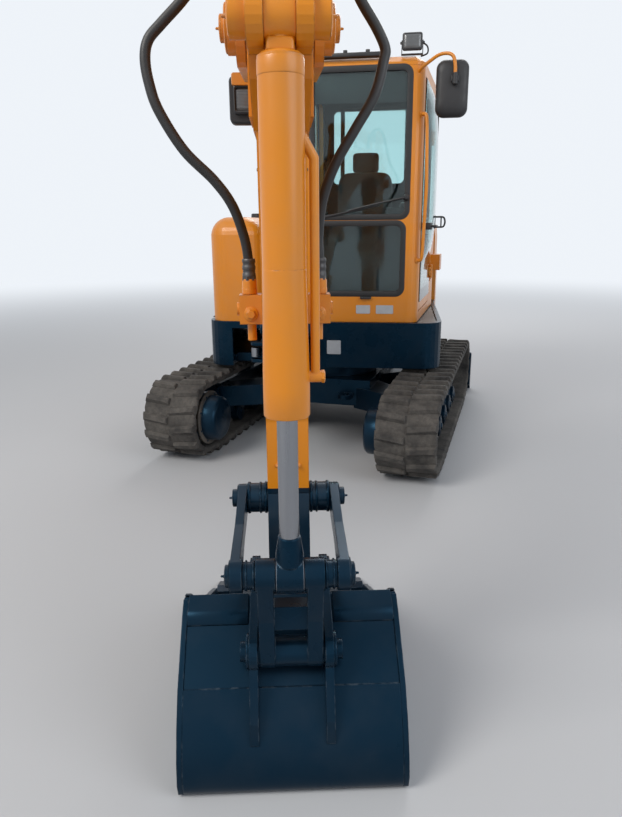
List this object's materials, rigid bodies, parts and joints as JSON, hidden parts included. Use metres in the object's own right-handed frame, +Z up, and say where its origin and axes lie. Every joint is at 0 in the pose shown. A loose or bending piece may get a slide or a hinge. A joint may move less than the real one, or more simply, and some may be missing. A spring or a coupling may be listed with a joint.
{
  "type": "crawler excavator",
  "caption": "Compact crawler excavator with swing boom, cab, dozer blade, rubber tracks and digging bucket, bucket resting on the ground.",
  "frame": {"origin": "ground level under the middle of the whole machine's outline", "axes": "+Z up; the machine's front, boom and bucket point to -Y; +X is the cab's side"},
  "size_m": [2.3512, 5.2787, 2.665],
  "materials": {
    "orange_paint": "semi-gloss amber-orange paint, dusty",
    "navy_paint": "semi-gloss dark blue-green paint",
    "black_metal": "satin black",
    "black_plastic": "moulded, matt",
    "track_rubber": "dusty grey-brown rubber",
    "hose_rubber": "black hose cover",
    "chrome_rod": "hard chrome",
    "clear_glass": "lightly tinted safety glass",
    "seat_cloth": "dark woven cloth",
    "bare_iron": "dark casting"
  },
  "bodies": {
    "undercarriage": {"car_body": "navy_paint", "track_frames": "navy_paint", "tracks": "track_rubber", "sprockets": "black_metal", "idlers": "navy_paint"},
    "blade": {"blade": "navy_paint"},
    "blade_tube": {"blade_tube": "black_metal"},
    "blade_rod": {"blade_rod": "chrome_rod"},
    "upper": {"main_frame": "navy_paint", "skirt": "navy_paint", "counterweight": "orange_paint", "engine": "bare_iron", "firewall": "black_plastic", "tank_cover": "orange_paint", "cab_shell": "orange_paint", "cab_roof": "orange_paint", "cab_glass": "clear_glass", "cab_floor": "black_plastic", "seat": "seat_cloth", "consoles": "black_plastic", "grab_rail": "orange_paint", "side_mirror": "black_plastic", "cab_lamp": "black_plastic", "side_box": "orange_paint", "swing_tube": "black_metal"},
    "engine_hood": {"engine_hood": "orange_paint"},
    "cab_door": {"door_frame": "orange_paint", "door_glass": "clear_glass"},
    "swing_post": {"swing_post": "navy_paint"},
    "swing_rod": {"swing_rod": "chrome_rod"},
    "boom": {"boom": "orange_paint", "boom_lamp": "black_plastic", "hose_right": "hose_rubber", "hose_left": "hose_rubber"},
    "boom_tube": {"boom_tube": "orange_paint"},
    "boom_rod": {"boom_rod": "chrome_rod"},
    "arm_tube": {"arm_tube": "orange_paint"},
    "arm_rod": {"arm_rod": "chrome_rod"},
    "arm": {"arm": "orange_paint", "arm_valves": "orange_paint"},
    "bucket_tube": {"bucket_tube": "orange_paint"},
    "bucket_rod": {"bucket_rod": "chrome_rod"},
    "idler_links": {"idler_links": "navy_paint"},
    "bucket_link": {"bucket_link": "navy_paint"},
    "bucket": {"bucket": "navy_paint"}
  },
  "joints": [
    {"name": "slew", "type": "hinge", "parent": "undercarriage", "child": "upper", "pos_m": [-0.02, 0.981, 0.57], "axis": [0, 0, 1], "continuous": true},
    {"name": "blade_lift", "type": "hinge", "parent": "undercarriage", "child": "blade", "pos_m": [0.09674, 1.6712, 0.32], "axis": [0.986, -0.1668, 0], "range_deg": [-27, 25]},
    {"name": "boom_swing", "type": "hinge", "parent": "upper", "child": "swing_post", "pos_m": [-0.262, 0.201, 0.72], "axis": [0, 0, 1], "range_deg": [-59.9, 70.1]},
    {"name": "boom_lift", "type": "hinge", "parent": "swing_post", "child": "boom", "pos_m": [-0.22589, -0.00587, 0.905], "axis": [-0.9851, -0.1719, 0], "range_deg": [-75, 38]},
    {"name": "arm_turn", "type": "hinge", "parent": "boom", "child": "arm", "pos_m": [0.15063, -2.16326, 2.03], "axis": [0.9851, 0.1719, 0], "range_deg": [-75, 30], "deforming": ["hose_right", "hose_left"]},
    {"name": "bucket_turn", "type": "hinge", "parent": "arm", "child": "bucket", "pos_m": [0.16095, -2.22237, 0.46], "axis": [0.9851, 0.1719, 0], "range_deg": [-80, 100]},
    {"name": "cab_door", "type": "hinge", "parent": "upper", "child": "cab_door", "pos_m": [0.71226, 1.2344, 1.6], "axis": [0, 0, 1], "range_deg": [0, 150]},
    {"name": "hood_lift", "type": "hinge", "parent": "upper", "child": "engine_hood", "pos_m": [-0.02, 1.651, 1.574], "axis": [1, 0, 0], "range_deg": [0, 60]},
    {"name": "boom_tube_tilt", "type": "hinge", "parent": "swing_post", "child": "boom_tube", "pos_m": [-0.20268, -0.13886, 0.65], "axis": [-0.9851, -0.1719, 0], "range_deg": [-73.7, 37.8]},
    {"name": "boom_rod_slide", "type": "slide", "parent": "boom_tube", "child": "boom_rod", "axis": [0.1097, -0.6283, 0.7702], "range_m": [-0.3265, 0.1674]},
    {"name": "arm_tube_tilt", "type": "hinge", "parent": "boom", "child": "arm_tube", "pos_m": [-0.06944, -0.90232, 2.3], "axis": [0.9851, 0.1719, 0], "range_deg": [-1.6, 2.5]},
    {"name": "arm_rod_slide", "type": "slide", "parent": "arm_tube", "child": "arm_rod", "axis": [0.1716, -0.983, 0.0653], "range_m": [-0.4241, 0.172]},
    {"name": "bucket_tube_tilt", "type": "hinge", "parent": "arm", "child": "bucket_tube", "pos_m": [0.21682, -2.54253, 1.954], "axis": [0.9851, 0.1719, 0], "range_deg": [-3.4, 4]},
    {"name": "bucket_rod_slide", "type": "slide", "parent": "bucket_tube", "child": "bucket_rod", "axis": [0, 0, -1], "range_m": [-0.284, 0.3539]},
    {"name": "idler_turn", "type": "hinge", "parent": "arm", "child": "idler_links", "pos_m": [0.14977, -2.15834, 0.7], "axis": [0.9851, 0.1719, 0], "range_deg": [-49, 61]},
    {"name": "link_turn", "type": "hinge", "parent": "bucket", "child": "bucket_link", "pos_m": [0.20823, -2.49327, 0.38], "axis": [0.9851, 0.1719, 0], "range_deg": [-63, 50.6]},
    {"name": "blade_tube_tilt", "type": "hinge", "parent": "undercarriage", "child": "blade_tube", "pos_m": [0.07839, 1.56274, 0.44], "axis": [0.986, -0.1668, 0], "range_deg": [-23.4, 21.8]},
    {"name": "blade_rod_slide", "type": "slide", "parent": "blade_tube", "child": "blade_rod", "axis": [0.1649, 0.9747, -0.151], "range_m": [-0.0476, 0.0511]},
    {"name": "swing_rod_slide", "type": "slide", "parent": "upper", "child": "swing_rod", "axis": [0, -1, 0], "range_m": [-0.1713, 0.1998]}
  ],
  "couplings": [
    {"joint": "boom_tube_tilt", "follows": "boom_lift", "ratio": 0.9693},
    {"joint": "boom_rod_slide", "follows": "boom_lift", "m_per_rad": 0.2464},
    {"joint": "arm_tube_tilt", "follows": "arm_turn", "ratio": -0.02},
    {"joint": "arm_rod_slide", "follows": "arm_turn", "m_per_rad": 0.3209},
    {"joint": "bucket_tube_tilt", "follows": "bucket_turn", "ratio": 0.03},
    {"joint": "bucket_rod_slide", "follows": "bucket_turn", "m_per_rad": 0.2005},
    {"joint": "idler_turn", "follows": "bucket_turn", "ratio": 0.6},
    {"joint": "link_turn", "follows": "bucket_turn", "ratio": -0.62},
    {"joint": "blade_tube_tilt", "follows": "blade_lift", "ratio": 0.83},
    {"joint": "blade_rod_slide", "follows": "blade_lift", "m_per_rad": -0.1},
    {"joint": "swing_rod_slide", "follows": "boom_swing", "m_per_rad": 0.16}
  ]
}
